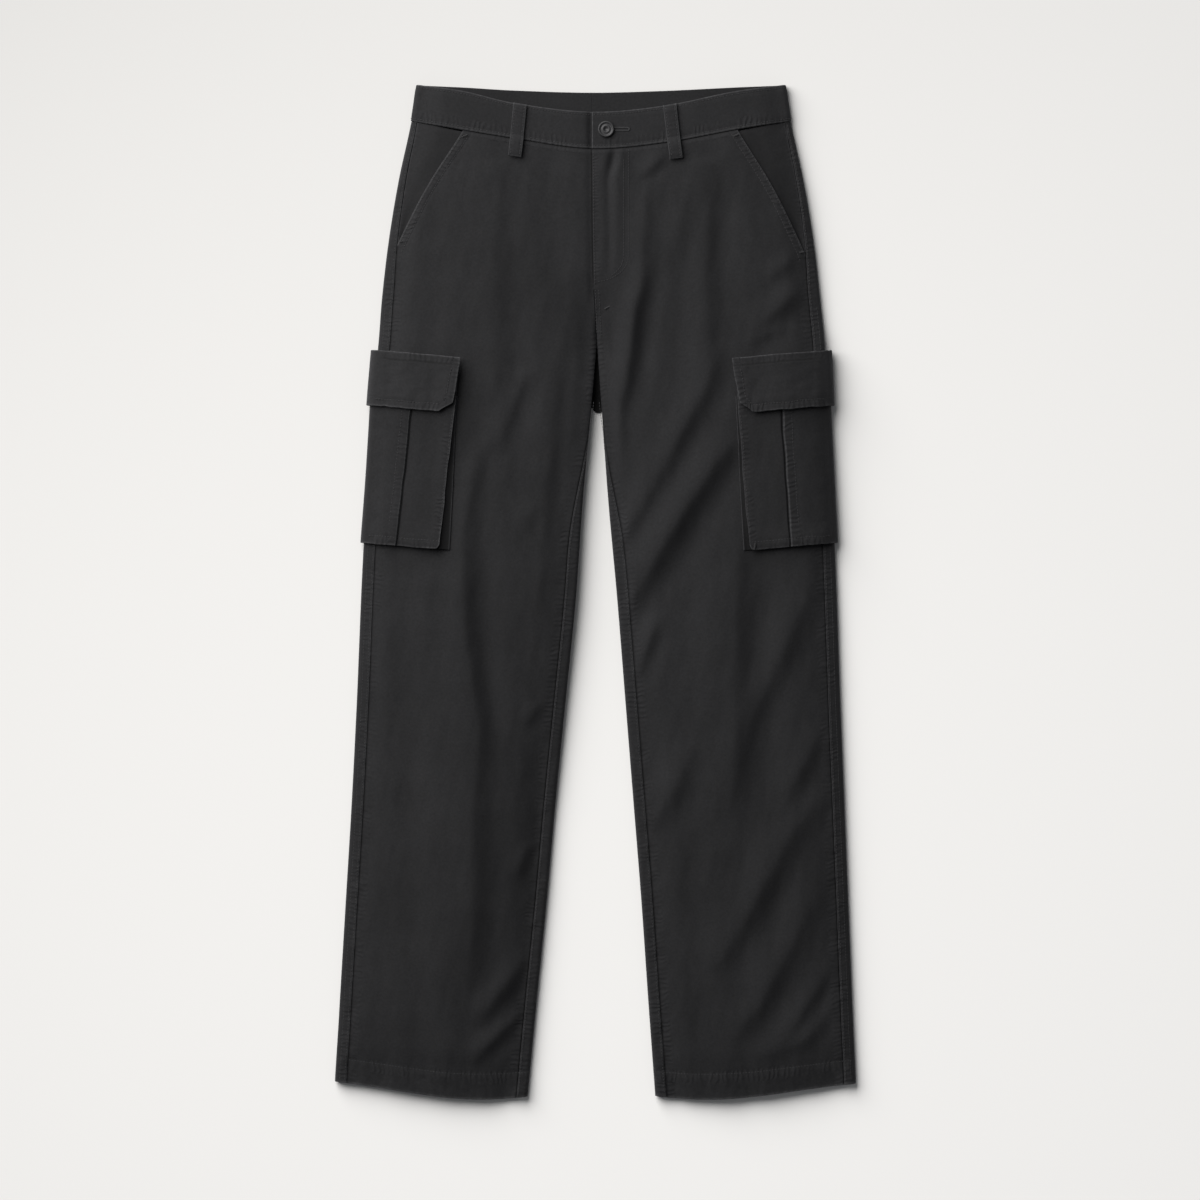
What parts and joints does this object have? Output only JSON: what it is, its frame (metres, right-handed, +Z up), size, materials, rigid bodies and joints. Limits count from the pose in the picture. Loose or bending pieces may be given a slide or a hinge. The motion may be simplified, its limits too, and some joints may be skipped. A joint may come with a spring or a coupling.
{
  "type": "cargo trousers",
  "caption": "Straight-leg cotton twill cargo trousers laid flat, front up: waistband with belt loops and button, overlapped fly, slanted hand pockets and flapped cargo pockets.",
  "frame": {"origin": "on the surface the trousers lie on, under the middle of their box", "axes": "+X to the wearer's left, +Y along the legs to the waist, +Z up off the surface through the front"},
  "size_m": [0.5467, 1.0639, 0.025],
  "materials": {
    "twill": "washed charcoal-black cotton twill, matt",
    "thread": "tone-on-tone polyester thread, slightly glossy",
    "button": "satin black resin"
  },
  "bodies": {
    "root": {"front_right": "twill", "front_left": "twill", "back_right": "twill", "back_left": "twill", "pocket_facing_right": "twill", "pocket_facing_left": "twill", "waistband_right": "twill", "waistband_left": "twill", "cargo_pocket_right": "twill", "cargo_pocket_left": "twill", "cargo_gusset_right": "twill", "cargo_gusset_left": "twill", "cargo_flap_right": "twill", "cargo_flap_left": "twill", "belt_loop_front_right": "twill", "belt_loop_front_left": "twill", "belt_loop_back_right": "twill", "belt_loop_back_centre": "twill", "belt_loop_back_left": "twill", "button": "button"}
  },
  "joints": []
}
